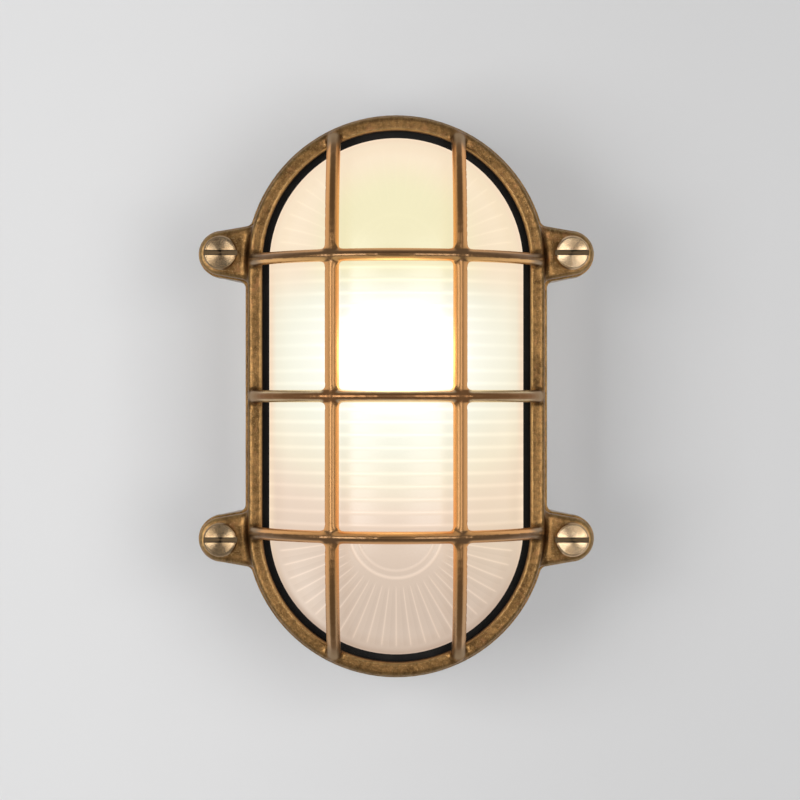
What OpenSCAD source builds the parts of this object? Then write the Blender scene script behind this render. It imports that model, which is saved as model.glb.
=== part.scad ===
// Oval bulkhead light: a cast brass back box, a barred cast brass guard frame, a pressed glass
// lens in a rubber channel, and a screw-cap lamp hanging in a porcelain holder.
// The back face lies on the wall, which is the plane Y = 0. The light faces -Y and +Z is up.
// The origin is the middle of the back face. Sizes are in millimetres.
// Each piece is drawn lying on its back, +Y towards the top of the light and +Z away from the
// wall, and on_wall() stands it up.

/* [Rim] */
// Distance between the centres of the two round ends
end_spacing = 120; // [110:1:132]
// Outer radius of the rim at the round ends, half its width
rim_r = 67.6; // [66:0.2:70]
// Width of the rim's front face
rim_face_w = 6.6; // [6:0.2:8]
// Thickness of the rim in front of the gasket
rim_t = 6; // [5:0.5:8]
// Rounding of the rim's outer front edge
rim_edge_r = 1.8; // [0.8:0.1:2.2]
// Wall of the rim round the gasket
skirt_w = 2.5; // [2:0.1:3]

/* [Guard bars] */
// Distance between the two long bars
long_bar_spacing = 56.4; // [46:0.2:64]
// Diameter of the long bars
long_bar_d = 6.6; // [4.5:0.1:7]
// Distance from the middle cross bar to each of the other two
cross_bar_spacing = 62; // [56:0.5:66]
// Diameter of the cross bars
cross_bar_d = 6; // [4:0.1:6.4]
// Clear space between the top of the glass and the cross bars
bar_clear = 6.5; // [5:0.5:10]
// Distance that the long bars lie below the cross bars
bar_step = 1; // [0.5:0.1:2]

/* [Lugs and cover screws] */
// Distance from the side of the rim to the screw centres
lug_reach = 12.6; // [11.5:0.1:15]
// Distance between the upper and lower screws
screw_rise = 130.8; // [126:0.2:134]
// Radius of a lug round its screw
lug_r = 10; // [9:0.1:11]
// Thickness of a lug
lug_t = 7; // [5:0.5:9]
// Angle at which each side of a lug spreads towards the rim
lug_taper = 10; // [6:1:14]
// Rounding of a lug's front edge
lug_edge_r = 1.4; // [0.8:0.1:2]
// Radius of the fillets between lugs and rim, beside the lugs and on top of them
lug_root_r = 4; // [2:0.5:5]
// Diameter of a cover screw's head
cover_head_d = 15.5; // [12:0.5:16]
// Height of a cover screw's head
cover_head_h = 6; // [4.5:0.5:7]
// Diameter of a cover screw's thread
cover_thread_d = 6; // [5:0.5:7]
// Width of the slot in a cover screw
slot_w = 2.5; // [1.5:0.1:3]
// Depth of the slot in a cover screw
slot_depth = 2.4; // [1.5:0.1:3]

/* [Glass lens] */
// Height of the glass above the front of its flange
lens_rise = 38; // [34:0.5:44]
// Thickness of the glass
lens_t = 4; // [3:0.1:5]
// Thickness of the flange
flange_t = 5; // [4:0.5:7]
// Number of ribs across the straight part
rib_count = 21; // [14:1:26]
// Height of the ribs inside the straight part
rib_h = 1.4; // [0.6:0.1:1.8]
// Number of flutes round each end
flute_count = 25; // [18:1:40]
// Height of the flutes inside the ends
flute_h = 1.1; // [0.6:0.1:1.6]
// Radius of the plain disc in the middle of each end
disc_r = 20; // [14:0.5:26]

/* [Gasket] */
// Thickness of rubber in front of the flange and behind it
gasket_t = 1.5; // [1:0.1:2.5]
// Thickness of rubber outside the flange
gasket_side_t = 1.6; // [1.2:0.1:2]
// Width of rubber seen inside the rim
gasket_show = 2.9; // [2.5:0.1:4]

/* [Back box] */
// Depth of the box
box_depth = 60; // [56:1:72]
// Distance that the box stands out past the rim
box_margin = 1.8; // [0.8:0.1:2.5]
// Extra radius of the box at the wall, the draft of the casting
box_draft = 1; // [0.4:0.1:2]
// Thickness of the box's sides
box_wall = 3; // [2.5:0.1:4]
// Thickness of the box's back
back_t = 3.5; // [3:0.1:5]
// Width of the ledge that the gasket lies on
land_w = 9.9; // [9:0.1:11]
// Thickness of the ledge
land_t = 4; // [3:0.5:6]
// Distance that the ears stand out past the lugs
ear_margin = 0.8; // [0.2:0.1:1.5]
// Thickness of an ear at its tip
ear_tip_t = 11; // [9:0.5:14]
// Thickness of an ear at the side of the box
ear_root_t = 24; // [18:1:30]
// Height of the pads inside the box
pad_h = 4; // [3.5:0.5:6]

/* [Wall fixing and cable entry] */
// Distance between the fixing holes, side to side
fixing_w = 80; // [70:1:86]
// Distance between the fixing holes, top to bottom
fixing_h = 150; // [146:1:156]
// Diameter of a fixing hole
fixing_d = 5.5; // [4.5:0.1:6.5]
// Height of the cable entry, from the middle of the back
entry_y = -30; // [-34:1:-22]
// Diameter of the cable hole through the grommet
entry_d = 8; // [6:0.5:10]
// Thickness of the grommet's rubber round the cable
grommet_wall = 3; // [2.5:0.1:4]

/* [Lamp and holder] */
// Distance from the wall to the lamp's axis
lamp_z = 46; // [44:1:48]
// Diameter of the lamp's globe
globe_d = 45; // [40:1:47]
// Distance from the holder's mouth to the centre of the globe
globe_drop = 31; // [30:1:36]
// Diameter of the lamp's screw cap
cap_d = 26; // [25:0.1:26.6]
// Diameter of the holder
holder_d = 40; // [38:0.5:42]
// Length of the holder
holder_len = 46; // [45:0.5:47]
// Depth of the holder's socket
socket_depth = 29; // [28:0.5:31]

/* [Bracket and wiring] */
// Thickness of the bracket's steel
bracket_t = 1.5; // [1.2:0.1:2]
// Width of the bracket
bracket_w = 34; // [32:1:36]
// Length of the bracket's foot
bracket_foot = 12.5; // [12:0.1:13]
// Gap between the corners of the bracket's foot and the end of the box
foot_gap = 2.2; // [1.5:0.1:4]
// Height of the terminal block's middle, from the middle of the back
block_y = -80; // [-86:1:-78]
// Distance between the block's terminals
block_pitch = 11; // [10.5:0.1:12]
// Diameter of the inside wires
wire_d = 2.6; // [2:0.1:2.8]

/* [Hidden] */
$fn = 72;

// Clearances: between curved faces of neighbours, and between a thread and its hole
fit_gap = 0.3;
thread_gap = 0.05;
// Amount by which a cutter runs past what it cuts
past = 1;
// A length longer than the light
far = 400;

end_y = end_spacing / 2;
seat_z = box_depth;
flange_z = seat_z + gasket_t;
flange_front_z = flange_z + flange_t;
rim_z = flange_front_z + gasket_t;
face_z = rim_z + rim_t;
rim_in_r = rim_r - rim_face_w;
skirt_in_r = rim_r - skirt_w;
rim_in_edge_r = 0.6;

gasket_r = skirt_in_r - fit_gap;
gasket_slot_r = gasket_r - gasket_side_t;
gasket_lip_r = rim_in_r - gasket_show;
flange_r = gasket_slot_r - fit_gap;
lens_edge_r = gasket_lip_r - fit_gap;

lens_r = (lens_edge_r * lens_edge_r + lens_rise * lens_rise) / (2 * lens_rise);
lens_in_r = lens_r - lens_t;
lens_top_z = flange_front_z + lens_rise;
lens_mid_z = lens_top_z - lens_r;

// The cross bars are arcs that leave the rim's face flush with its outer edge
bar_top_z = lens_top_z + bar_clear + cross_bar_d / 2;
bar_rise = bar_top_z - face_z;
bar_reach = rim_r - cross_bar_d / 2 - 0.1;
cross_arc_r = (bar_reach * bar_reach + bar_rise * bar_rise) / (2 * bar_rise);
bar_mid_z = bar_top_z - cross_arc_r;
long_bar_x = long_bar_spacing / 2;
long_shell_r = cross_arc_r - bar_step;
long_bar_z = bar_mid_z + sqrt(long_shell_r * long_shell_r - long_bar_x * long_bar_x);
// They run straight to just short of the outer cross bars, then turn down to the rim in an arc
long_straight_y = cross_bar_spacing - cross_bar_d / 2 - 1.5;
long_foot_r = rim_r - long_bar_d / 2 - 0.9;
long_run = end_y + sqrt(long_foot_r * long_foot_r - long_bar_x * long_bar_x) - long_straight_y;
long_rise = long_bar_z - face_z;
long_arc_r = (long_run * long_run + long_rise * long_rise) / (2 * long_rise);
bar_trim = 0.15;

screw_x = rim_r + lug_reach;
screw_y = screw_rise / 2;
lug_z = seat_z + lug_t;
lug_hole_d = cover_thread_d + 2 * fit_gap;
// Amount by which the straight sides of a lug lie inside its round tip
arm_inset = 0.08;
arm_r = lug_r - arm_inset;
// Amount by which the fillets at the roots of a lug cut into it
root_sink = 0.1;
// Distance from the edge of a lug's flat top to the end of the fillet that lies on it
rise_inset = 0.6;
// Distance that the screw's round seat stands out of the rest of a lug
screw_seat_h = 0.25;
// Distance from the foot of a lug's rounding down to the top of those fillets
root_drop = 0.4;

box_front_r = rim_r + box_margin;
box_back_r = box_front_r + box_draft;
box_in_r = box_front_r - box_wall;
land_in_r = box_front_r - land_w;
back_edge_r = 2;
ear_r = lug_r + ear_margin;
fixing_pad_r = 6;
screw_pad_r = 5;

// The bracket's foot reaches nearly to the end of the box, and the holder hangs from its upright
foot_end_y = end_y + sqrt(box_in_r * box_in_r - bracket_w * bracket_w / 4) - foot_gap;
mouth_y = foot_end_y - bracket_foot - bracket_t - holder_len;
holder_r = holder_d / 2;
socket_floor_y = mouth_y + socket_depth;
holder_top_y = mouth_y + holder_len;
shell_t = 0.5;
shell_r = cap_d / 2 + fit_gap + shell_t;
socket_r = shell_r + fit_gap;
contact_t = 0.6;
contact_rise = 3;
tip_y = socket_floor_y - contact_rise - contact_t;
holder_screw_x = 11;
holder_screw_len = 9;
holder_wire_x = 8;
holder_wire_y = socket_floor_y + 8;
terminal_w = 5;
terminal_h = 8;
terminal_z = lamp_z - 9;

pad_z = back_t + pad_h;
foot_z = pad_z + bracket_t;
upright_y = holder_top_y;
bracket_y = upright_y + bracket_t;
bracket_screw_x = 10;
bracket_screw_y = bracket_y + 6;
small_thread_d = 3.5;
small_head_d = 6.4;
small_head_h = 2.4;

block_w = 3 * block_pitch + 2;
block_l = 17;
block_h = 13;
block_hole_z = pad_z + 5;
block_screw_x = block_pitch / 2;
block_step_z = pad_z + 7;
tube_d = 5.6;
tube_in_d = 3.4;
clamp_y = 4.5;
clamp_d = 2.4;
clamp_head_d = 3.8;
clamp_head_h = 3;
clamp_reach = 0.2;
block_thread_d = 2.6;
block_head_d = 4.6;
block_head_h = 2;

earth_x = 34;
earth_y = -44;
earth_thread_d = 4;
earth_head_d = 8;
earth_head_h = 3;
tag_t = 0.8;
tag_w = 4;
// Where the tag's barrel starts, its length, and where the wire ends in it
barrel_y = 8;
barrel_len = 6;
barrel_stop = 1;
barrel_wire_y = barrel_y + 2 * barrel_stop;
washer_t = 1;
tag_z = pad_z + tag_t;
washer_z = tag_z + washer_t;

entry_floor_z = 2.5;
entry_boss_z = entry_floor_z + back_t;
grommet_lip_t = 2;
grommet_neck_r = entry_d / 2 + grommet_wall;
grommet_lip_r = grommet_neck_r + 3;

// Routes of the inside wires: how far they lie off the back and to the side of the lamp,
// how far they reach into their terminals, and how far they run into a bend
wire_z = back_t + wire_d / 2 + 0.8;
wire_run_x = 22;
wire_grip = 4;
terminal_grip = 3;
wire_sweep = 10;
block_top_y = block_y + block_l / 2;

module on_wall() {
    rotate([90, 0, 0])
        children();
}

module four_corners(x, y) {
    for (sx = [-1, 1])
        for (sy = [-1, 1])
            translate([sx * x, sy * y, 0])
                children();
}

module mirrored_corners() {
    for (mx = [0, 1])
        for (my = [0, 1])
            mirror([mx, 0, 0])
                mirror([0, my, 0])
                    children();
}

// The oval outline: a straight part between two round ends
module oval(r) {
    square([2 * r, end_spacing], center = true);
    for (s = [-1, 1])
        translate([0, s * end_y])
            circle(r);
}

// A section, radius along X and height along Y, carried round the oval
module round_oval() {
    for (turn = [0, 180])
        rotate([0, 0, turn])
            translate([0, end_y, 0])
                rotate_extrude(angle = 180)
                    children();
    for (side = [0, 1])
        mirror([side, 0, 0])
            rotate([90, 0, 0])
                linear_extrude(end_spacing, center = true)
                    children();
}

// What is cut from a square corner, about the centre of its rounding
module corner_cut(r) {
    difference() {
        square(r + past);
        circle(r);
    }
}

// Guard frame

module rim_section() {
    difference() {
        union() {
            translate([rim_in_r, rim_z])
                square([rim_face_w, rim_t]);
            translate([skirt_in_r, seat_z])
                square([skirt_w, rim_z - seat_z + rim_t / 2]);
        }
        translate([rim_r - rim_edge_r, face_z - rim_edge_r])
            corner_cut(rim_edge_r);
        translate([rim_in_r + rim_in_edge_r, face_z - rim_in_edge_r])
            mirror([1, 0])
                corner_cut(rim_in_edge_r);
    }
}

module cross_bar(y) {
    translate([0, y, bar_mid_z])
        rotate([90, 0, 0])
            rotate_extrude(angle = 180)
                translate([cross_arc_r, 0])
                    circle(d = cross_bar_d);
}

// A long bar: straight, with a slight knuckle where it turns down at each end
module long_bar(x) {
    knuckle_d = long_bar_d + 0.1;
    short = 0.1;
    translate([x, 0, long_bar_z])
        rotate([90, 0, 0])
            cylinder(h = 2 * (long_straight_y - short), d = long_bar_d, center = true);
    for (side = [0, 1])
        mirror([0, side, 0]) {
            translate([x, long_straight_y, long_bar_z])
                sphere(d = knuckle_d);
            translate([x, long_straight_y, long_bar_z - long_arc_r])
                rotate([90, 0, 90])
                    rotate_extrude(angle = 90 - short)
                        translate([long_arc_r, 0])
                            circle(d = long_bar_d);
        }
}

// Section of a lug across its length, round at both front edges
module lug_section(r, t, edge) {
    translate([-r, 0])
        square([2 * r, t - edge]);
    translate([edge - r, 0])
        square([2 * (r - edge), t]);
    for (s = [-1, 1])
        translate([s * (r - edge), t - edge])
            circle(edge);
}

// A tongue about its screw, its two sides spreading towards the rim
module tongue(r, t, edge) {
    rotate_extrude()
        intersection() {
            lug_section(r, t, edge);
            square([r, t]);
        }
    for (s = [-1, 1])
        rotate([0, 0, 180 + s * lug_taper])
            rotate([90, 0, 90])
                linear_extrude(lug_reach + rim_face_w)
                    lug_section(r - arm_inset, t - screw_seat_h, edge);
}

// The fillets on both sides of a lug, between it and a rim of the given radius
module lug_roots(r, side_r) {
    reach = lug_root_r - root_sink;
    spread = tan(lug_taper);
    half = r / cos(lug_taper);
    slant = reach / cos(lug_taper);
    inside = [side_r - skirt_w / 2, screw_y];
    root_y = screw_y - half - (screw_x - side_r) * spread;
    low = [side_r + reach, root_y + reach * spread - slant];
    low_lug = low + lug_root_r * [-sin(lug_taper), cos(lug_taper)];
    difference() {
        polygon([[side_r - root_sink, low[1]], low_lug, inside, [inside[0], low[1]]]);
        translate(low)
            circle(lug_root_r);
    }
    rise = screw_y - end_y + half + screw_x * spread + slant;
    span = side_r + reach;
    a = 1 + spread * spread;
    b = -2 * spread * rise;
    c = rise * rise - span * span;
    up_x = (-b + sqrt(b * b - 4 * a * c)) / (2 * a);
    up = [up_x, end_y + rise - spread * up_x];
    up_lug = up - lug_root_r * [sin(lug_taper), cos(lug_taper)];
    up_rim = [0, end_y] + (up - [0, end_y]) * (side_r - root_sink) / span;
    difference() {
        polygon([up_rim, up_lug, inside, [up_rim[0] - skirt_w / 2, up_rim[1]]]);
        translate(up)
            circle(lug_root_r);
    }
}

// The plan of a tongue whose round tip has the given radius
module tongue_plan(r) {
    translate([screw_x, screw_y]) {
        circle(r);
        for (s = [-1, 1])
            rotate([0, 0, 180 + s * lug_taper])
                translate([0, arm_inset - r])
                    square([lug_reach + rim_face_w, 2 * (r - arm_inset)]);
    }
}

// The fillet on top of a lug, by which it rises to the side of the rim
module lug_rise() {
    reach = lug_root_r - root_sink;
    top_z = lug_z - screw_seat_h;
    intersection() {
        round_oval()
            difference() {
                translate([rim_r - skirt_w / 2, top_z - past])
                    square([skirt_w / 2 + reach, past + reach]);
                translate([rim_r + reach, top_z + reach])
                    circle(lug_root_r);
            }
        linear_extrude(face_z)
            tongue_plan(arm_r - lug_edge_r - rise_inset);
    }
}

module lug() {
    difference() {
        union() {
            translate([screw_x, screw_y, seat_z])
                tongue(lug_r, lug_t, lug_edge_r);
            translate([0, 0, seat_z])
                linear_extrude(lug_t - lug_edge_r - root_drop)
                    lug_roots(arm_r, rim_r);
        }
        translate([0, 0, seat_z - past])
            linear_extrude(lug_t + 2 * past)
                oval(rim_r - skirt_w / 2);
    }
    lug_rise();
}

module guard_frame() {
    color("darkgoldenrod")
        difference() {
            union() {
                round_oval()
                    rim_section();
                intersection() {
                    union() {
                        for (row = [-1, 0, 1])
                            cross_bar(row * cross_bar_spacing);
                        for (s = [-1, 1])
                            long_bar(s * long_bar_x);
                    }
                    translate([0, 0, rim_z + rim_t / 3])
                        linear_extrude(far)
                            oval(rim_r - bar_trim);
                }
                mirrored_corners()
                    lug();
            }
            four_corners(screw_x, screw_y)
                translate([0, 0, seat_z - past])
                    cylinder(h = lug_t + 2 * past, d = lug_hole_d);
        }
}

module cover_screws() {
    head_r = cover_head_d / 2;
    edge = 1.6;
    thread_l = lug_t + ear_tip_t - 2;
    color("goldenrod")
        four_corners(screw_x, screw_y)
            difference() {
                union() {
                    translate([0, 0, lug_z])
                        rotate_extrude()
                            intersection() {
                                lug_section(head_r, cover_head_h, edge);
                                square([head_r, cover_head_h]);
                            }
                    translate([0, 0, lug_z - thread_l])
                        cylinder(h = thread_l + past, d = cover_thread_d);
                }
                translate([-cover_head_d, -slot_w / 2, lug_z + cover_head_h - slot_depth])
                    cube([2 * cover_head_d, slot_w, slot_depth + past]);
            }
}

// Glass lens and its gasket

// Section of the glass wall, about the centre of its curve
module shell_section(outer_r, inner_r, from_z) {
    intersection() {
        difference() {
            circle(outer_r);
            circle(inner_r);
        }
        translate([0, from_z - lens_mid_z])
            square(far);
    }
}

// The straight part: a ribbed tube, of which the part in front of the wall is kept
module ribbed_middle() {
    pitch = end_spacing / rib_count;
    crests = [
        for (i = [0 : rib_count - 1])
            for (p = [[0, 0], [0.5, -rib_h]])
                [lens_in_r + p[1], -end_y + (i + p[0]) * pitch]
    ];
    outline = concat([[lens_r, end_y], [lens_r, -end_y]], crests, [[lens_in_r, end_y]]);
    intersection() {
        translate([0, 0, lens_mid_z])
            rotate([90, 0, 0])
                rotate_extrude()
                    polygon(outline);
        translate([-far / 2, -far / 2, flange_z])
            cube(far);
    }
}

// A round end: half a dome, with flutes from its plain disc out to the flange
module fluted_end() {
    pitch = 180 / flute_count;
    ring_d = 2.4;
    rotate_extrude(angle = 180)
        shell_section(lens_r, lens_in_r, flange_z);
    for (i = [0 : flute_count - 1])
        rotate([0, 0, (i + 0.25) * pitch])
            rotate_extrude(angle = pitch / 2)
                intersection() {
                    shell_section(lens_in_r + lens_t / 4, lens_in_r - flute_h, flange_z + flute_h);
                    translate([disc_r, 0])
                        square(far);
                }
    for (ring_r = [disc_r, disc_r * 0.86])
        rotate_extrude(angle = 180)
            translate([ring_r, sqrt(lens_in_r * lens_in_r - ring_r * ring_r)])
                circle(d = ring_d);
}

module lens_glass() {
    color("wheat", 0.6) {
        ribbed_middle();
        for (turn = [0, 180])
            rotate([0, 0, turn])
                translate([0, end_y, lens_mid_z])
                    fluted_end();
        translate([0, 0, flange_z])
            linear_extrude(flange_t)
                difference() {
                    oval(flange_r);
                    oval(lens_edge_r - lens_t / 4);
                }
    }
}

module lens_gasket() {
    color("black")
        round_oval()
            difference() {
                translate([gasket_lip_r, seat_z])
                    square([gasket_r - gasket_lip_r, rim_z - seat_z]);
                translate([gasket_lip_r - past, seat_z - past])
                    square([land_in_r - gasket_lip_r + past, flange_front_z - seat_z + past]);
                translate([land_in_r - past, flange_z])
                    square([gasket_slot_r - land_in_r + past, flange_t]);
            }
}

// Back box

module box_section() {
    difference() {
        polygon([
            [0, 0],
            [box_back_r, 0],
            [box_front_r, seat_z],
            [land_in_r, seat_z],
            [land_in_r, seat_z - land_t],
            [box_in_r, seat_z - land_t - (box_in_r - land_in_r)],
            [box_back_r - box_wall, back_t],
            [0, back_t]
        ]);
        translate([box_back_r - back_edge_r, back_edge_r])
            mirror([0, 1])
                corner_cut(back_edge_r);
    }
}

module ear() {
    root_x = box_front_r - box_wall / 2;
    difference() {
        intersection() {
            translate([0, 0, seat_z - ear_root_t])
                linear_extrude(ear_root_t) {
                    tongue_plan(ear_r);
                    lug_roots(ear_r - arm_inset, box_front_r);
                }
            rotate([90, 0, 0])
                linear_extrude(far, center = true)
                    polygon([
                        [0, seat_z],
                        [far, seat_z],
                        [far, seat_z - ear_tip_t],
                        [screw_x, seat_z - ear_tip_t],
                        [box_front_r, seat_z - ear_root_t],
                        [0, seat_z - ear_root_t]
                    ]);
        }
        translate([0, 0, seat_z - ear_root_t - past])
            linear_extrude(ear_root_t + 2 * past)
                oval(root_x);
    }
}

module pad(x, y, r) {
    translate([x, y, back_t / 2])
        cylinder(h = pad_z - back_t / 2, r = r);
}

// A blind threaded hole in a pad
module tapped(x, y, d) {
    translate([x, y, 2])
        cylinder(h = far, d = d + 2 * thread_gap);
}

module back_box() {
    color("darkgoldenrod")
        difference() {
            union() {
                round_oval()
                    box_section();
                mirrored_corners()
                    ear();
                four_corners(fixing_w / 2, fixing_h / 2)
                    pad(0, 0, fixing_pad_r);
                for (s = [-1, 1])
                    pad(s * bracket_screw_x, bracket_screw_y, screw_pad_r);
                for (s = [-1, 1])
                    pad(s * block_screw_x, block_y, screw_pad_r);
                pad(earth_x, earth_y, screw_pad_r);
                translate([0, entry_y, back_t / 2])
                    cylinder(h = entry_boss_z - back_t / 2, r = grommet_lip_r + 1);
            }
            four_corners(screw_x, screw_y)
                translate([0, 0, seat_z - ear_root_t])
                    cylinder(h = far, d = cover_thread_d + 2 * thread_gap);
            four_corners(fixing_w / 2, fixing_h / 2)
                translate([0, 0, -past])
                    cylinder(h = far, d = fixing_d);
            for (s = [-1, 1])
                tapped(s * bracket_screw_x, bracket_screw_y, small_thread_d);
            for (s = [-1, 1])
                tapped(s * block_screw_x, block_y, block_thread_d);
            tapped(earth_x, earth_y, earth_thread_d);
            translate([0, entry_y, -past])
                cylinder(h = far, r = grommet_neck_r);
            translate([0, entry_y, -past])
                cylinder(h = entry_floor_z + past, r = grommet_lip_r + fit_gap);
        }
}

module cable_grommet() {
    back_z = entry_floor_z - grommet_lip_t;
    color("dimgray")
        translate([0, entry_y, 0])
            rotate_extrude()
                difference() {
                    union() {
                        translate([0, back_z])
                            square([grommet_lip_r, grommet_lip_t]);
                        translate([0, back_z])
                            square([grommet_neck_r - fit_gap / 2, entry_boss_z - back_z]);
                        translate([0, entry_boss_z])
                            square([grommet_lip_r, grommet_lip_t]);
                    }
                    translate([-past, -past])
                        square([past + entry_d / 2, far]);
                }
}

// Lamp and holder, turned about the lamp's axis with the section's Y along it

module about_lamp() {
    translate([0, 0, lamp_z])
        rotate([90, 0, 180])
            rotate([180, 0, 0])
                mirror([0, 0, 1])
                    rotate_extrude()
                        children();
}

module lamp() {
    cap_r = cap_d / 2;
    globe_r = globe_d / 2;
    globe_y = mouth_y - globe_drop;
    neck_r = 15;
    neck_y = globe_y + sqrt(globe_r * globe_r - neck_r * neck_r);
    color("ivory")
        about_lamp() {
            intersection() {
                translate([0, globe_y])
                    circle(globe_r);
                translate([0, globe_y - far / 2])
                    square([far, far]);
            }
            polygon([
                [0, globe_y],
                [neck_r, neck_y],
                [neck_r, mouth_y - 2],
                [cap_r, mouth_y],
                [cap_r, tip_y - 5],
                [5, tip_y - 1],
                [4.5, tip_y],
                [0, tip_y]
            ]);
        }
}

module holder_body() {
    mouth_r = holder_r - 1.5;
    color("white")
        difference() {
            about_lamp()
                polygon([
                    [0, socket_floor_y],
                    [socket_r, socket_floor_y],
                    [socket_r, mouth_y],
                    [mouth_r, mouth_y],
                    [mouth_r, mouth_y + holder_len * 0.5],
                    [holder_r, mouth_y + holder_len * 0.56],
                    [holder_r, holder_top_y - 1],
                    [holder_r - 1, holder_top_y],
                    [0, holder_top_y]
                ]);
            for (s = [-1, 1])
                translate([s * holder_screw_x, holder_top_y + past, lamp_z])
                    rotate([90, 0, 0])
                        cylinder(h = holder_screw_len + past, d = small_thread_d + 2 * thread_gap);
            for (s = [-1, 1])
                translate([s * holder_wire_x, holder_wire_y, terminal_z - far / 2])
                    cube([terminal_w + 2 * fit_gap, terminal_h + 2 * fit_gap, far], center = true);
        }
}

module holder_thread() {
    lip_y = mouth_y + 3;
    color("gold")
        about_lamp()
            difference() {
                translate([0, lip_y])
                    square([shell_r, socket_floor_y - lip_y]);
                translate([-past, lip_y - past])
                    square([shell_r - shell_t + past, socket_floor_y - lip_y - shell_t + past]);
                translate([-past, lip_y])
                    square([8 + past, far]);
            }
}

module holder_contact() {
    strip_w = 6;
    color("gold")
        translate([0, 0, lamp_z - strip_w / 2])
            linear_extrude(strip_w)
                polygon([
                    [-6, socket_floor_y],
                    [-6, socket_floor_y - contact_t],
                    [-4.4, socket_floor_y - contact_t],
                    [-2.4, tip_y],
                    [3, tip_y],
                    [3, tip_y + contact_t],
                    [-2, tip_y + contact_t],
                    [-4, socket_floor_y]
                ]);
}

module holder_terminals() {
    body_l = 7;
    color("gold")
        for (s = [-1, 1])
            translate([s * holder_wire_x, holder_wire_y, terminal_z])
                difference() {
                    translate([-terminal_w / 2, -terminal_h / 2, -body_l])
                        cube([terminal_w, terminal_h, body_l]);
                    translate([0, 0, -body_l - past])
                        cylinder(h = body_l - 1 + past, d = wire_d + fit_gap);
                }
}

module bracket_section() {
    top_z = lamp_z + 15;
    bend_r = 2;
    difference() {
        union() {
            translate([upright_y, pad_z])
                square([bracket_t, top_z - pad_z]);
            translate([upright_y, pad_z])
                square([bracket_foot + bracket_t, bracket_t]);
            translate([bracket_y, foot_z])
                square(bend_r);
        }
        translate([bracket_y + bend_r, foot_z + bend_r])
            circle(bend_r);
    }
}

module holder_bracket() {
    color("silver")
        difference() {
            rotate([90, 0, 90])
                linear_extrude(bracket_w, center = true)
                    bracket_section();
            for (s = [-1, 1])
                translate([s * bracket_screw_x, bracket_screw_y, 0])
                    cylinder(h = lamp_z / 2, d = small_thread_d + 2 * fit_gap);
            for (s = [-1, 1])
                translate([s * holder_screw_x, upright_y + far / 2, lamp_z])
                    rotate([90, 0, 0])
                        cylinder(h = far, d = small_thread_d + 2 * fit_gap);
        }
}

// A slotted pan-head screw, head up, its seat at height 0
module small_screw(thread_d, head_d, head_h, length) {
    difference() {
        union() {
            translate([0, 0, -length])
                cylinder(h = length + head_h / 2, d = thread_d);
            cylinder(h = head_h, d = head_d);
        }
        translate([-head_d, -0.4, head_h * 0.5])
            cube([2 * head_d, 0.8, head_h]);
    }
}

module holder_screws() {
    color("silver")
        for (s = [-1, 1])
            translate([s * holder_screw_x, bracket_y, lamp_z])
                rotate([-90, 0, 0])
                    small_screw(small_thread_d, small_head_d, small_head_h, holder_screw_len);
}

module bracket_screws() {
    color("silver")
        for (s = [-1, 1])
            translate([s * bracket_screw_x, bracket_screw_y, foot_z])
                small_screw(small_thread_d, small_head_d, small_head_h, bracket_t + pad_h);
}

// Terminal block and earth

module terminal_block() {
    color("whitesmoke")
        difference() {
            translate([-block_w / 2, block_y - block_l / 2, pad_z])
                cube([block_w, block_l, block_h]);
            for (i = [-1, 0, 1])
                translate([i * block_pitch, block_y, block_hole_z])
                    rotate([90, 0, 0])
                        cylinder(h = far, d = tube_d + 2 * fit_gap, center = true);
            for (i = [-1, 0, 1])
                for (s = [-1, 1])
                    translate([i * block_pitch, block_y + s * clamp_y, block_hole_z])
                        cylinder(h = far, d = clamp_head_d + 2 * fit_gap);
            for (s = [-1, 1])
                translate([s * block_screw_x, block_y, 0]) {
                    cylinder(h = far, d = block_thread_d + 2 * fit_gap);
                    translate([0, 0, block_step_z])
                        cylinder(h = far, d = block_head_d + 2 * fit_gap);
                }
        }
}

module terminal_tubes() {
    color("gold")
        for (i = [-1, 0, 1])
            translate([i * block_pitch, block_y, block_hole_z])
                difference() {
                    rotate([90, 0, 0])
                        cylinder(h = block_l - 3, d = tube_d, center = true);
                    rotate([90, 0, 0])
                        cylinder(h = block_l, d = tube_in_d, center = true);
                    for (s = [-1, 1])
                        translate([0, s * clamp_y, 0])
                            cylinder(h = tube_d, d = clamp_d + 2 * thread_gap);
                }
}

module terminal_screws() {
    reach = tube_d / 2 - tube_in_d / 2 + clamp_reach;
    color("gold")
        for (i = [-1, 0, 1])
            for (s = [-1, 1])
                translate([i * block_pitch, block_y + s * clamp_y, block_hole_z + tube_d / 2])
                    small_screw(clamp_d, clamp_head_d, clamp_head_h, reach);
}

module block_screws() {
    color("silver")
        for (s = [-1, 1])
            translate([s * block_screw_x, block_y, block_step_z])
                small_screw(block_thread_d, block_head_d, block_head_h, block_step_z - back_t);
}

module earth_screw() {
    color("gold")
        translate([earth_x, earth_y, washer_z])
            small_screw(earth_thread_d, earth_head_d, earth_head_h, washer_z - back_t);
}

module earth_washer() {
    color("silver")
        translate([earth_x, earth_y, tag_z])
            difference() {
                cylinder(h = washer_t, d = earth_head_d + 1.6);
                translate([0, 0, -past])
                    cylinder(h = washer_t + 2 * past, d = earth_thread_d + 2 * fit_gap);
            }
}

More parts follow.
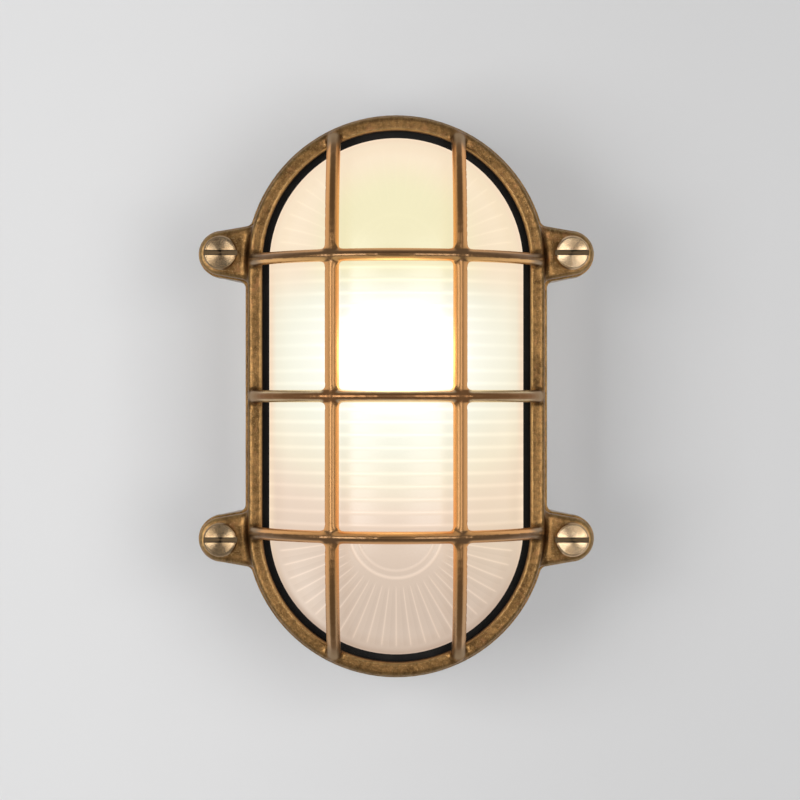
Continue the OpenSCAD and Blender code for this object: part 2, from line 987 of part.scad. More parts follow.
// The ring lies on the earth pad, and its barrel takes the end of the earth wire
module earth_tag() {
    ring_d = earth_head_d + 1;
    barrel_d = wire_d + 2 * tag_t + fit_gap;
    color("silver")
        translate([earth_x, earth_y, pad_z])
            rotate([0, 0, -90])
                difference() {
                    union() {
                        cylinder(h = tag_t, d = ring_d);
                        translate([-tag_w / 2, -barrel_wire_y, 0])
                            cube([tag_w, barrel_wire_y, tag_t]);
                        translate([0, -barrel_y, barrel_d / 2])
                            rotate([90, 0, 0])
                                cylinder(h = barrel_len, d = barrel_d);
                    }
                    translate([0, 0, -past])
                        cylinder(h = tag_t + 2 * past, d = earth_thread_d + 2 * fit_gap);
                    translate([0, -barrel_y - barrel_stop, barrel_d / 2])
                        rotate([90, 0, 0])
                            cylinder(h = barrel_len, d = wire_d + fit_gap);
                }
}

// Inside wires: a round tube swept along a smooth route through its points

function unit(v) = v / norm(v);
function smooth(a, b, c, d, t) =
    0.5 * (2 * b + (c - a) * t + (2 * a - 5 * b + 4 * c - d) * t * t
        + (3 * b - a - 3 * c + d) * t * t * t);
function at(points, i) = points[max(0, min(len(points) - 1, i))];
function route(points, steps) = concat(
    [
        for (i = [0 : len(points) - 2])
            for (k = [0 : steps - 1])
                smooth(at(points, i - 1), at(points, i), at(points, i + 1), at(points, i + 2), k / steps)
    ],
    [points[len(points) - 1]]
);
function heading(path, i) = unit(at(path, i + 1) - at(path, i - 1));

module wire(points, side) {
    sides = 8;
    path = route(points, 4);
    count = len(path);
    rings = [
        for (i = [0 : count - 1])
            let (
                ahead = heading(path, i),
                across = unit(cross(ahead, side)),
                over = cross(across, ahead)
            )
            for (k = [0 : sides - 1])
                path[i] + wire_d / 2 * (cos(360 * k / sides) * across + sin(360 * k / sides) * over)
    ];
    walls = [
        for (i = [0 : count - 2])
            for (k = [0 : sides - 1])
                [
                    i * sides + k,
                    (i + 1) * sides + k,
                    (i + 1) * sides + (k + 1) % sides,
                    i * sides + (k + 1) % sides
                ]
    ];
    first = [for (k = [0 : sides - 1]) k];
    last = [for (k = [sides - 1 : -1 : 0]) (count - 1) * sides + k];
    polyhedron(points = rings, faces = concat([first], walls, [last]));
}

// From an outer terminal of the block, behind the lamp, to a terminal of the holder
module holder_wire(s, side) {
    x = s * block_pitch;
    run_x = s * wire_run_x;
    end_x = s * holder_wire_x;
    rise_z = terminal_z - terminal_h;
    wire(
        [
            [x, block_top_y - wire_grip, block_hole_z],
            [x, block_top_y + wire_grip, block_hole_z],
            [(x + run_x) / 2, block_top_y + 4 * wire_grip, wire_z + wire_d],
            [run_x, entry_y + wire_sweep, wire_z],
            [run_x, (entry_y + mouth_y) / 2, wire_z],
            [run_x, mouth_y, wire_z],
            [(run_x + end_x) / 2, holder_wire_y - wire_sweep, wire_z + wire_d / 2],
            [end_x, holder_wire_y, rise_z - wire_sweep],
            [end_x, holder_wire_y, rise_z],
            [end_x, holder_wire_y, terminal_z - terminal_grip]
        ],
        side
    );
}

module live_wire() {
    color("saddlebrown")
        holder_wire(-1, [1, 0.2, 0.1]);
}

module neutral_wire() {
    color("royalblue")
        holder_wire(1, [1, -0.2, -0.1]);
}

// From the middle terminal of the block, in one sweep to the barrel of the earth tag
module earth_wire() {
    lead_y = block_top_y + wire_grip;
    sweep = [earth_x - barrel_wire_y, earth_y - lead_y];
    barrel_z = pad_z + (wire_d + 2 * tag_t + fit_gap) / 2;
    color("yellowgreen")
        wire(
            [
                [0, block_top_y - wire_grip, block_hole_z],
                [0, lead_y, block_hole_z],
                [sweep.x * 0.1, lead_y + sweep.y * 0.4, block_hole_z],
                [sweep.x * 0.37, lead_y + sweep.y * 0.79, barrel_z + wire_d / 2],
                [sweep.x * 0.7, lead_y + sweep.y * 0.98, barrel_z],
                [sweep.x, earth_y, barrel_z]
            ],
            [0, 0.1, 1]
        );
}

on_wall() {
    back_box();
    guard_frame();
    lens_glass();
    lens_gasket();
    cover_screws();
    lamp();
    holder_body();
    holder_thread();
    holder_contact();
    holder_terminals();
    holder_bracket();
    holder_screws();
    bracket_screws();
    terminal_block();
    terminal_tubes();
    terminal_screws();
    block_screws();
    earth_screw();
    earth_washer();
    earth_tag();
    cable_grommet();
    live_wire();
    neutral_wire();
    earth_wire();
}
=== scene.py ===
import math

import bmesh
import bpy
from mathutils import Matrix, Vector


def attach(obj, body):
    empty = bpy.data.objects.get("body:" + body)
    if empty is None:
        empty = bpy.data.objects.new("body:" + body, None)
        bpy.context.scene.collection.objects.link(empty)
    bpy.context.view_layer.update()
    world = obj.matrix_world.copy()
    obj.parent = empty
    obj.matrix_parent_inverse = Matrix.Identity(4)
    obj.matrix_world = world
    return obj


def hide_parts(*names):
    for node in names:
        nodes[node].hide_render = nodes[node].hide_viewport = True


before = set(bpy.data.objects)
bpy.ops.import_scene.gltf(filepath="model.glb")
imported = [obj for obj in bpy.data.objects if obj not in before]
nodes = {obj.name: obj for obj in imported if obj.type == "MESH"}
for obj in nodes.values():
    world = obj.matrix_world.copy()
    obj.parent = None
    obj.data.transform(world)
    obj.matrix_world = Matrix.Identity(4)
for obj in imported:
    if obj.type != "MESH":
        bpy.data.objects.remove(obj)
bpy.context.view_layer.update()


# Back box: a deep oval tray of sand-cast brass with four ears, screwed flat to the wall.
# Its skin keeps the grain of the sand under a thin brown tarnish, rubbed bright along the edges,
# and its back is ground flat on a belt.

class Shade:
    """One output of a material's nodes, which stands in sums like a number."""

    def __init__(self, output):
        self.output = output

    def node(self, kind, settings=None, sockets=None, out=0):
        """A node of any kind: its settings first, then the values or links of its sockets."""
        tree = self.output.id_data
        made = tree.nodes.new("ShaderNode" + kind)
        for name, value in (settings or {}).items():
            if name == "stops":
                ramp = made.color_ramp.elements
                while len(ramp) < len(value):
                    ramp.new(1.0)
                for stop, (place, colour) in zip(ramp, value):
                    stop.position = place
                    stop.color = colour
            else:
                setattr(made, name, value)
        for name, value in (sockets or {}).items():
            if isinstance(value, Shade):
                tree.links.new(value.output, made.inputs[name])
            else:
                made.inputs[name].default_value = value
        return Shade(made.outputs[out])

    def beside(self, name):
        """Another output of the same node."""
        return Shade(self.output.node.outputs[name])

    def feed(self, shader, socket):
        self.output.id_data.links.new(self.output, shader.inputs[socket])

    def math(self, operation, *others):
        """A Math node on this value and any others."""
        return self.node("Math", {"operation": operation}, dict(enumerate((self, *others))))

    def step(self, low, high):
        """Runs smoothly from 0 at low to 1 at high."""
        return self.node("MapRange", {"interpolation_type": "SMOOTHSTEP"},
                         {"Value": self, "From Min": low, "From Max": high})

    def tint(self, first, second):
        """The first colour where this is 0, the second where it is 1."""
        return self.node("Mix", {"data_type": "RGBA"}, {0: self, 6: first, 7: second}, out=2)

    def __add__(self, other):
        return self.math("ADD", other)

    def __sub__(self, other):
        return self.math("SUBTRACT", other)

    def __rsub__(self, other):
        return self.node("Math", {"operation": "SUBTRACT"}, {0: other, 1: self})

    def __mul__(self, other):
        return self.math("MULTIPLY", other)

    def __truediv__(self, other):
        return self.math("DIVIDE", other)

    def __rtruediv__(self, other):
        return self.node("Math", {"operation": "DIVIDE"}, {0: other, 1: self})

    def __pow__(self, other):
        return self.math("POWER", other)

    def __neg__(self):
        return self.math("MULTIPLY", -1.0)

    def __abs__(self):
        return self.math("ABSOLUTE")

    __radd__ = __add__
    __rmul__ = __mul__


def new_finish(name, constants):
    """A material, its object coordinates and its shader, with the shader's constant values set."""
    material = bpy.data.materials.new(name)
    material.use_nodes = True
    tree = material.node_tree
    shader = tree.nodes["Principled BSDF"]
    for socket, value in constants.items():
        shader.inputs[socket].default_value = value
    place = Shade(tree.nodes.new("ShaderNodeTexCoord").outputs["Object"])
    return material, place, shader


def parts(vector):
    """The parts of a vector along X, Y and Z."""
    along_x = vector.node("SeparateXYZ", {}, {"Vector": vector})
    return along_x, along_x.beside("Y"), along_x.beside("Z")


def grain(place, scale, detail=3.0, roughness=0.55):
    """Even noise, with about that many specks to the metre."""
    return place.node("TexNoise", {}, {
        "Vector": place, "Scale": scale, "Detail": detail, "Roughness": roughness})


def relief(shader, height, depth, strength=1.0, under=None):
    """Raises the surface by the height, of which 1 stands for the depth in metres."""
    sockets = {"Strength": strength, "Distance": depth, "Height": height}
    if under:
        sockets["Normal"] = under
    height.node("Bump", {}, sockets).feed(shader, "Normal")


def dress(material, *names):
    """Gives the CAD nodes of these names a finish."""
    for name in names:
        for slot in nodes[name].material_slots:
            slot.material = material


BRASS_BROWN = (0.080, 0.040, 0.0135, 1)
BRASS_CAST = (0.31, 0.167, 0.059, 1)
BRASS_WORN_AND_HIGHLIGHT = (0.84, 0.585, 0.265, 1)
BRASS_COPPERY = (0.33, 0.155, 0.063, 1)


def cast_brass(name):
    """Sand-cast brass: the material, its place and shader, its tarnished colour, and its grain."""
    material, place, shader = new_finish(name, {"Metallic": 1.0})
    tarnish = grain(place, 75.0, 5.0).step(0.30, 0.68)
    copper = grain(place, 170.0, 3.0).step(0.56, 0.74)
    sand = grain(place, 560.0, 5.0, 0.62)
    fleck = grain(place, 1500.0, 2.0).step(0.56, 0.72)
    bright = sand.step(0.30, 0.70) * 0.66 + tarnish * 0.34
    colour = (copper * 0.6).tint(bright.tint(BRASS_BROWN, BRASS_CAST), BRASS_COPPERY)
    colour = (fleck * 0.25).tint(colour, BRASS_WORN_AND_HIGHLIGHT)
    return material, place, shader, colour, sand


SAND_DEPTH = 0.00024
EDGE_WEAR = 0.0012
BACK_DEPTH = 0.0012
BRASS_GROUND = (0.50, 0.325, 0.125, 1)
box_brass, place, shader, colour, sand = cast_brass("box_cast_brass")
softened = place.node("Bevel", {"samples": 4}, {"Radius": EDGE_WEAR})
form = place.node("NewGeometry")
turned = softened.node("VectorMath", {"operation": "DOT_PRODUCT"},
                       {0: softened, 1: form.beside("Normal")}, out="Value")
edge = (1.0 - turned.step(0.82, 0.995)) * (0.4 + 0.6 * sand)
to_wall = parts(form.beside("Normal"))[1]
off_wall = -parts(place)[1]
flat_back = to_wall.step(0.90, 0.99) * (1.0 - off_wall.step(BACK_DEPTH / 3.0, BACK_DEPTH))
belt = grain(place.node("Mapping", {}, {"Vector": place, "Scale": (1.0, 1.0, 0.02)}), 2000.0, 3.0)
bare = belt.step(0.30, 0.70) * 0.35 + grain(place, 26.0, 4.0).step(0.34, 0.66) * 0.35
colour = (flat_back * (0.28 + bare)).tint(colour, BRASS_GROUND)
colour = (edge * 0.8).tint(colour, BRASS_WORN_AND_HIGHLIGHT)
colour.feed(shader, "Base Color")
(0.42 - 0.16 * sand - 0.08 * flat_back).feed(shader, "Roughness")
relief(shader, sand * (1.0 - flat_back) + flat_back * belt * 0.25, SAND_DEPTH, 0.8, softened)
dress(box_brass, "back_box")
nodes["back_box"].visible_diffuse = False


# Cable grommet: a ring of black moulded rubber, pressed into the hole at the back of the box so
# that its lips grip both faces of the brass. Its skin is dull and a little dusty.

RUBBER_BLACK = (0.0022, 0.0020, 0.0017, 1)
RUBBER_DUSTY = (0.0085, 0.0075, 0.0062, 1)


def black_rubber(name):
    material, place, shader = new_finish(name, {"Specular IOR Level": 0.2})
    dust = grain(place, 90.0, 4.0).step(0.42, 0.75)
    skin = grain(place, 1500.0, 2.0)
    dust.tint(RUBBER_BLACK, RUBBER_DUSTY).feed(shader, "Base Color")
    (0.56 + 0.2 * skin).feed(shader, "Roughness")
    relief(shader, skin, 0.00008, 0.6)
    return material


rubber = black_rubber("black_rubber")
dress(rubber, "cable_grommet")


# Terminal block: a strip of white moulded plastic with three brass tubes, each with two clamp
# screws, held to the back by two small steel screws.

PLASTIC_WHITE = (0.80, 0.79, 0.74, 1)
PLASTIC_SHADE = (0.66, 0.64, 0.58, 1)
block_plastic, place, shader = new_finish("block_plastic", {"IOR": 1.5})
mould = grain(place, 800.0, 3.0)
grain(place, 60.0, 3.0).step(0.4, 0.7).tint(PLASTIC_WHITE, PLASTIC_SHADE).feed(shader, "Base Color")
(0.38 + 0.15 * mould).feed(shader, "Roughness")
relief(shader, mould, 0.00006, 0.5)
dress(block_plastic, "terminal_block")

TURNED_DULL = (0.47, 0.312, 0.168, 1)
TURNED_PALE = (0.77, 0.565, 0.355, 1)


def turned_brass(name):
    """Bright brass off the lathe, a little clouded by handling."""
    material, place, shader = new_finish(name, {"Metallic": 1.0})
    cloud = grain(place, 150.0, 4.0).step(0.34, 0.66)
    scuff = grain(place, 1400.0, 3.0, 0.6)
    (0.17 + 0.12 * scuff - 0.03 * cloud).feed(shader, "Roughness")
    return material, place, shader, (cloud * 0.7 + scuff * 0.3).tint(TURNED_DULL, TURNED_PALE), scuff


small_brass, place, shader, colour, scuff = turned_brass("small_turned_brass")
colour.feed(shader, "Base Color")
relief(shader, scuff, 0.00003, 0.6)
dress(small_brass, "terminal_tubes", "terminal_screws", "earth_screw")

ZINC_PALE = (0.62, 0.63, 0.64, 1)
ZINC_GREY = (0.40, 0.41, 0.43, 1)
zinc_steel, place, shader = new_finish("zinc_steel", {"Metallic": 1.0})
spangle = place.node("TexVoronoi", {"feature": "F1"}, {"Vector": place, "Scale": 260.0}, out=1)
patch = spangle.node("SeparateColor", {}, {"Color": spangle})
rub = grain(place, 900.0, 3.0)
(patch * 0.6 + rub * 0.4).tint(ZINC_GREY, ZINC_PALE).feed(shader, "Base Color")
(0.28 + 0.2 * rub).feed(shader, "Roughness")
relief(shader, rub, 0.00003, 0.5)
dress(zinc_steel, "block_screws", "earth_washer", "earth_tag")


# Lamp holder: a glazed porcelain barrel with a pressed brass screw shell, a sprung contact and two
# terminals, on a folded bracket of zinc-plated steel that is screwed to the top of the box.

dress(zinc_steel, "holder_bracket", "holder_screws", "bracket_screws")

PORCELAIN_WHITE = (0.84, 0.82, 0.77, 1)
PORCELAIN_CREAM = (0.72, 0.69, 0.61, 1)
porcelain, place, shader = new_finish("porcelain", {"IOR": 1.52})
glaze = grain(place, 70.0, 4.0).step(0.35, 0.7)
glaze.tint(PORCELAIN_WHITE, PORCELAIN_CREAM).feed(shader, "Base Color")
(0.10 + 0.12 * grain(place, 500.0, 2.0)).feed(shader, "Roughness")
relief(shader, glaze, 0.0002, 0.3)
dress(porcelain, "holder_body")
dress(small_brass, "holder_thread", "holder_contact", "holder_terminals")


# Lamp: a round lamp of opal glass on a nickel-plated screw cap, screwed up into the holder.
# It is lit, and the cap stays dark.

CAP_LINE = 0.0615
CAP_NICKEL = (0.58, 0.55, 0.50, 1)
OPAL_GLASS = (0.86, 0.84, 0.80, 1)
OPAL_GLOW = (1.0, 0.86, 0.62, 1)
lamp_opal, place, shader = new_finish("lamp_opal", {"Emission Strength": 1.0, "IOR": 1.5})
cap = parts(place)[2].step(CAP_LINE, CAP_LINE + 0.0004)
bloom = grain(place, 120.0, 3.0)
cap.tint(OPAL_GLASS, CAP_NICKEL).feed(shader, "Base Color")
cap.tint(OPAL_GLOW, (0, 0, 0, 1)).feed(shader, "Emission Color")
cap.feed(shader, "Metallic")
(0.16 + 0.12 * bloom + 0.1 * cap).feed(shader, "Roughness")
dress(lamp_opal, "lamp")


# Inside wires: brown, blue and green-and-yellow wires in smooth plastic, from the block to the
# holder's terminals and to the earth tag.

def wire_plastic(name, plain, second, streak_scale, streak_edge):
    """Smooth wire covering, its second colour in streaks."""
    material, place, shader = new_finish(name, {"IOR": 1.5})
    streak = place.node("TexWave", {"bands_direction": "DIAGONAL"},
                        {"Vector": place, "Scale": streak_scale, "Distortion": 1.5, "Detail": 2.0})
    streak.step(streak_edge, streak_edge + 0.1).tint(plain, second).feed(shader, "Base Color")
    (0.34 + 0.14 * grain(place, 700.0)).feed(shader, "Roughness")
    return material


brown_wire = wire_plastic("brown_wire", (0.090, 0.034, 0.013, 1), (0.12, 0.05, 0.02, 1), 90.0, 0.6)
blue_wire = wire_plastic("blue_wire", (0.02, 0.075, 0.30, 1), (0.03, 0.11, 0.38, 1), 90.0, 0.6)
green_wire = wire_plastic("green_wire", (0.02, 0.17, 0.035, 1), (0.68, 0.52, 0.02, 1), 60.0, 0.5)
dress(brown_wire, "live_wire")
dress(blue_wire, "neutral_wire")
dress(green_wire, "earth_wire")


# Gasket: one moulded ring of black rubber round the flange of the glass, seen as a narrow black
# band inside the rim.

dress(rubber, "lens_gasket")


# Glass lens: a pressed dome of frosted glass, ribbed across its straight part and fluted round its
# ends. The lamp's light through it is painted into its emission: a painted glow, white-hot over the
# globe, cream where the holder shades it, and rosy below.

RIB_PITCH = 0.12 / 21
FLUTE_TURN = math.pi / 25
END_Z = 0.060
DISC_R = 0.0205
RING_R = 0.0172
FLUTES_FROM = 0.0255
FLUTES_TO = 0.0542
HOT_Z = 0.0175
HOT_HALF_WIDTH = 0.060
HOT_HALF_HEIGHT = 0.0475
SHOULDER_OUT = 0.0665
CROWN_OUT = 0.0745
GLASS_BASE = (0.050, 0.0477, 0.0432, 1)
GLASS_MILKY = (0.064, 0.060, 0.0545, 1)
GLOW_POWER = 4.0


def lit(red, green, blue):
    """The emission colour that shines with this light at the glass's full power."""
    return red / GLOW_POWER, green / GLOW_POWER, blue / GLOW_POWER, 1


GLOW_STOPS = [
    (0.00, lit(0.720, 0.563, 0.443)),
    (0.10, lit(0.810, 0.648, 0.513)),
    (0.24, lit(0.880, 0.793, 0.618)),
    (0.50, lit(0.900, 0.888, 0.743)),
    (0.72, lit(0.980, 0.978, 0.863)),
    (0.87, lit(1.450, 1.408, 1.243)),
    (0.97, lit(4.050, 3.748, 3.043)),
]
GLOW_TOP = lit(0.880, 0.813, 0.523)
GLOW_TOP_SIDE = lit(0.920, 0.758, 0.568)
GLOW_TOP_END = lit(0.940, 0.778, 0.573)
GLOW_RIGHT = lit(0.890, 0.728, 0.483)
GLOW_LOW = lit(0.620, 0.483, 0.383)
GLOW_LOW_LEFT = lit(0.790, 0.648, 0.533)
EDGE_PEACH = lit(0.920, 0.723, 0.533)
EDGE_DIM = lit(0.520, 0.383, 0.293)

lens_glass, place, shader = new_finish("frosted_glass", {"IOR": 1.5, "Emission Strength": GLOW_POWER})
across, inwards, up = parts(place)
out = -inwards
straight = 1.0 - abs(up).step(END_Z - 0.0006, END_Z + 0.0006)
to_pole = abs(up) - END_Z
reach = (across * across + to_pole * to_pole).math("SQRT")

from_hot = (across / HOT_HALF_WIDTH) ** 2.0 + (abs(up - HOT_Z) / HOT_HALF_HEIGHT) ** 2.0
glow_peak = (-from_hot).math("EXPONENT")
glow = glow_peak.node("ValToRGB", {"stops": GLOW_STOPS}, {"Fac": glow_peak})
side = abs(across).step(0.022, 0.046)
top = up.step(0.040, 0.062)
low = 1.0 - up.step(-0.105, -0.045)
glow = top.tint(glow, side.tint(GLOW_TOP, GLOW_TOP_SIDE))
glow = (top * (1.0 - straight) * reach.step(0.030, 0.052)).tint(glow, GLOW_TOP_END)
glow = (0.35 * across.step(0.010, 0.045) * (1.0 - glow_peak)).tint(glow, GLOW_RIGHT)
glow = low.tint(glow, (-across).step(0.020, 0.045).tint(GLOW_LOW, GLOW_LOW_LEFT))
# Painted light and shade at the edge of the glass next to the gasket: peach at the top, dim below.
long_edge = straight * (1.0 - out.step(SHOULDER_OUT, CROWN_OUT))
end_edge = (1.0 - straight) * reach.step(FLUTES_TO, FLUTES_TO + 0.004)
glow = (long_edge + end_edge).tint(glow, low.tint(EDGE_PEACH, EDGE_DIM))

# Painted glints of the lamp's light in the ribs, the flutes and two rings round the end discs; the
# same lines also give the glass a slight bump.
rib = (up * (2.0 * math.pi / RIB_PITCH)).math("COSINE")
rib_glint = (rib * 0.5 + 0.5) ** 4.0
spoke = across.math("ARCTAN2", to_pole)
facet = (spoke / FLUTE_TURN + 0.5).math("FRACT")
crest = (1.0 - abs(facet - 0.5) * 2.0) ** 8.0
fluted = reach.step(FLUTES_FROM - 0.002, FLUTES_FROM + 0.002)
fluted = fluted * (1.0 - reach.step(FLUTES_TO - 0.002, FLUTES_TO + 0.0005))
ring_glint = 1.0 - abs(reach - DISC_R).step(0.0, 0.0012)
ring_glint = ring_glint + 0.6 * (1.0 - abs(reach - RING_R).step(0.0, 0.0010))
flute_glint = (crest * 1.1 + facet * 0.2 - 0.2) * fluted + 0.9 * ring_glint
plain_top = top * (1.0 - 0.3 * side)
rib_share = 1.35 - side * (0.45 + 0.5 * up.step(-0.010, 0.030))
line = straight * rib_glint * rib_share + (1.0 - straight) * flute_glint * (2.4 - 2.3 * plain_top)
frost = grain(place, 1100.0, 3.0)
cloud = grain(place, 55.0, 3.0)
level = 0.963 + 0.105 * line + 0.03 * (cloud - 0.5) + 0.02 * (frost - 0.5)
glow.node("Mix", {"data_type": "RGBA", "blend_type": "MULTIPLY"},
          {0: 1.0, 6: glow, 7: level}, out=2).feed(shader, "Emission Color")
cloud.tint(GLASS_BASE, GLASS_MILKY).feed(shader, "Base Color")
(0.26 + 0.16 * frost).feed(shader, "Roughness")
relief(shader, line * 0.8 + frost * 0.2, 0.0006, 0.4)
dress(lens_glass, "lens_glass")
nodes["lens_glass"].visible_diffuse = False


# Guard frame: rim, lugs and bars in one brass casting, fettled by hand and rubbed along its edges;
# a painted highlight lies on the worn edges and painted reflections of the lit glass on the bars.
# The CAD solid is taken up, its bars drawn in towards their crests, webs fill the corners of the
# crossings, and the whole is melted together so that every root and crossing gets its cast fillet.

BAR_X = 0.0282
CROSS_Z = (-0.062, 0.0, 0.062)
CROSS_ARC_R = 0.0720
CROSSING_Y = -0.1077
CROSS_ARC_Y = -0.0415
LONG_ARC_Y = -0.05
LONG_BAR_R = 0.0033
CROSS_BAR_R = 0.0030
BAR_PINCH = 0.45
RIM_FACE = 0.074
PINCHED_FROM = RIM_FACE + 0.005
WEB_R = 0.0067
WEB_T = 0.0026
VOXEL = 0.00085


def crest_pinch(across, radius, outward):
    """How far a point on a round bar is drawn in, so that the bar narrows to a rounded crest."""
    if outward <= 0.0 or abs(across) >= radius:
        return 0.0
    return across * BAR_PINCH * math.sqrt(1.0 - (across / radius) ** 2)


melt = bmesh.new()
melt.from_mesh(nodes["guard_frame"].data)
bmesh.ops.remove_doubles(melt, verts=melt.verts[:], dist=1e-6)
melt.normal_update()
for point in melt.verts:
    x, y, z = point.co
    if -y < PINCHED_FROM:
        continue
    slope = point.normal
    long_out = slope.y * (y - LONG_ARC_Y) + slope.z * z
    cross_out = slope.x * x + slope.y * (y - CROSS_ARC_Y)
    cross_z = min(CROSS_Z, key=lambda level: abs(z - level))
    point.co.x -= crest_pinch(x - math.copysign(BAR_X, x), LONG_BAR_R, long_out)
    point.co.z -= crest_pinch(z - cross_z, CROSS_BAR_R, cross_out)
for side_x in (-BAR_X, BAR_X):
    lean = Matrix.Rotation(math.asin(side_x / CROSS_ARC_R), 4, "Z")
    for cross_z in CROSS_Z:
        seat = Matrix.Translation((side_x, CROSSING_Y, cross_z))
        bmesh.ops.create_cone(melt, cap_ends=True, segments=4, radius1=WEB_R, radius2=WEB_R,
                              depth=WEB_T, matrix=seat @ lean @ Matrix.Rotation(math.pi / 2, 4, "X"))
guard_mesh = bpy.data.meshes.new("guard_casting")
melt.to_mesh(guard_mesh)
melt.free()
guard = bpy.data.objects.new("guard_casting", guard_mesh)
bpy.context.scene.collection.objects.link(guard)
remelt = guard.modifiers.new("melt", "REMESH")
remelt.mode = "VOXEL"
remelt.voxel_size = VOXEL
remelt.use_smooth_shade = True
tumble = guard.modifiers.new("tumble", "SMOOTH")
tumble.factor = 0.5
tumble.iterations = 9

BAR_BROWN = (0.22, 0.114, 0.046, 1)
# Painted sheen on the long bars between the outer cross bars:
BAR_MIDDLE_SHEEN = (0.35, 0.182, 0.074, 1)
# Painted reflections of the lit glass on the flanks of the bars.
BAR_FLANK_REFLECTION = (0.96, 0.48, 0.165, 1)
BAR_FLANK_UPPER_REFLECTION = (1.0, 0.56, 0.20, 1)
BAR_FLANK_OUTER_REFLECTION = (0.98, 0.51, 0.20, 1)
BAR_FLANK_LOW_REFLECTION = (0.66, 0.41, 0.215, 1)
BAR_FLANK_MIDDLE_REFLECTION = (1.0, 0.82, 0.52, 1)
# Painted sheen on the feet of the bars:
BAR_FOOT_SHEEN = (0.41, 0.285, 0.16, 1)
BAR_COAT = 0.4
BAR_COAT_ROUGH = 0.16
CROSS_CORE = 0.0024
CROSS_EDGE = 0.0032
WEB_NEAR = 0.006
WEB_FAR = 0.009
MIDDLE_SHEEN_TO = 0.052
MIDDLE_SHEEN_GONE_FROM = 0.080
guard_brass, place, shader, colour, sand = cast_brass("guard_cast_brass")
form = place.node("NewGeometry")
across, inwards, up = parts(place)
slant_x, slant_y, slant_z = parts(form.beside("Normal"))

# Bars against rim, arched bar against its foot, and the long, middle and outer bars.
out = -inwards
bar = out.step(RIM_FACE + 0.0006, RIM_FACE + 0.003)
arched = out.step(RIM_FACE + 0.004, RIM_FACE + 0.012)
from_middle = abs(up)
from_outer = abs(from_middle - CROSS_Z[-1])
on_middle = 1.0 - from_middle.step(CROSS_CORE, CROSS_EDGE)
on_outer = 1.0 - from_outer.step(CROSS_CORE, CROSS_EDGE)
on_cross = on_middle + on_outer
by_cross = 1.0 - from_middle.math("MINIMUM", from_outer).step(WEB_NEAR, WEB_FAR)

# Flanks of the bars, told apart by whether they face the lamp in the middle or turn away;
# the glow of the lit glass is painted on them as a reflection.
to_lamp_z = slant_z * up / -CROSS_Z[-1]
to_lamp_x = slant_x * across / -BAR_X
web = by_cross * (1.0 - (-slant_y).step(0.50, 0.74))
sideways = abs(slant_x).step(0.46, 0.70)
long_flank_reflection = arched * (1.0 - on_cross) * web.math("MAXIMUM", sideways)
cross_flank_reflection = arched * on_outer * to_lamp_z.step(0.30, 0.56)
cross_back_reflection = arched * on_outer * (-to_lamp_z).step(0.60, 0.82)
middle_flank_reflection = arched * on_middle * abs(slant_z).step(0.55, 0.80)

# Ridges of the rim worn bare and brightened by a painted highlight, hollows tarnished and darkened by
# painted shade, and the smoother skin of the bars.
curvature = form.beside("Pointiness")
ridge_wear_and_highlight = curvature.step(0.510, 0.565) * (0.55 + 0.45 * sand) * (1.0 - bar)
hollow_tarnish_and_shade = 1.0 - curvature.step(0.440, 0.497)
colour = (ridge_wear_and_highlight * 0.85).tint(colour, BRASS_WORN_AND_HIGHLIGHT)
colour = (hollow_tarnish_and_shade * 0.85).tint(colour, BRASS_BROWN)
# Painted sheen: the long bars are lighter between the outer cross bars.
middle_sheen = (1.0 - from_middle.step(MIDDLE_SHEEN_TO, MIDDLE_SHEEN_GONE_FROM)) * (1.0 - on_cross)
bar_colour_and_reflections = (sand.step(0.3, 0.7) * 0.25).tint(middle_sheen.tint(BAR_BROWN, BAR_MIDDLE_SHEEN), BRASS_CAST)
bar_colour_and_reflections = (0.7 * on_middle).tint(bar_colour_and_reflections, BRASS_COPPERY)
# Painted reflection of the lit glass on the long bars' flanks: orange beside the bright glass, tan at
# the bottom.
long_side = to_lamp_x.step(-0.1, 0.1).tint(BAR_FLANK_OUTER_REFLECTION, BAR_FLANK_REFLECTION)
beside_bright_glass = up.step(-0.108, -0.066)
bar_colour_and_reflections = long_flank_reflection.tint(bar_colour_and_reflections, beside_bright_glass.tint(BAR_FLANK_LOW_REFLECTION, long_side))
# Painted reflection of the lit glass on the flanks of the cross bars, paler on the middle one.
cross_side = up.step(0.0, 0.03).tint(BAR_FLANK_REFLECTION, BAR_FLANK_UPPER_REFLECTION)
bar_colour_and_reflections = cross_flank_reflection.tint(bar_colour_and_reflections, cross_side)
bar_colour_and_reflections = (0.7 * cross_back_reflection).tint(bar_colour_and_reflections, BAR_FLANK_OUTER_REFLECTION)
bar_colour_and_reflections = middle_flank_reflection.tint(bar_colour_and_reflections, BAR_FLANK_MIDDLE_REFLECTION)
# Painted sheen on the feet of the bars, where they bend down to the rim.
bar_colour_and_reflections = (0.7 * (1.0 - arched)).tint(bar_colour_and_reflections, BAR_FOOT_SHEEN)
bar.tint(colour, bar_colour_and_reflections).feed(shader, "Base Color")
bar_rough = 0.40 - 0.08 * on_cross
((1.0 - bar) * (0.46 - 0.16 * sand) + bar * bar_rough).feed(shader, "Roughness")
(bar * on_outer * BAR_COAT).feed(shader, "Coat Weight")
shader.inputs["Coat Roughness"].default_value = BAR_COAT_ROUGH
relief(shader, sand * (1.0 - bar), SAND_DEPTH, 0.8)
guard_mesh.materials.clear()
guard_mesh.materials.append(guard_brass)
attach(guard, "root")
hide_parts("guard_frame")


# Cover screws: four cheese-head screws turned from brass bar, which pull the guard down on the
# gasket. Their flat faces keep the fine rings of the lathe.

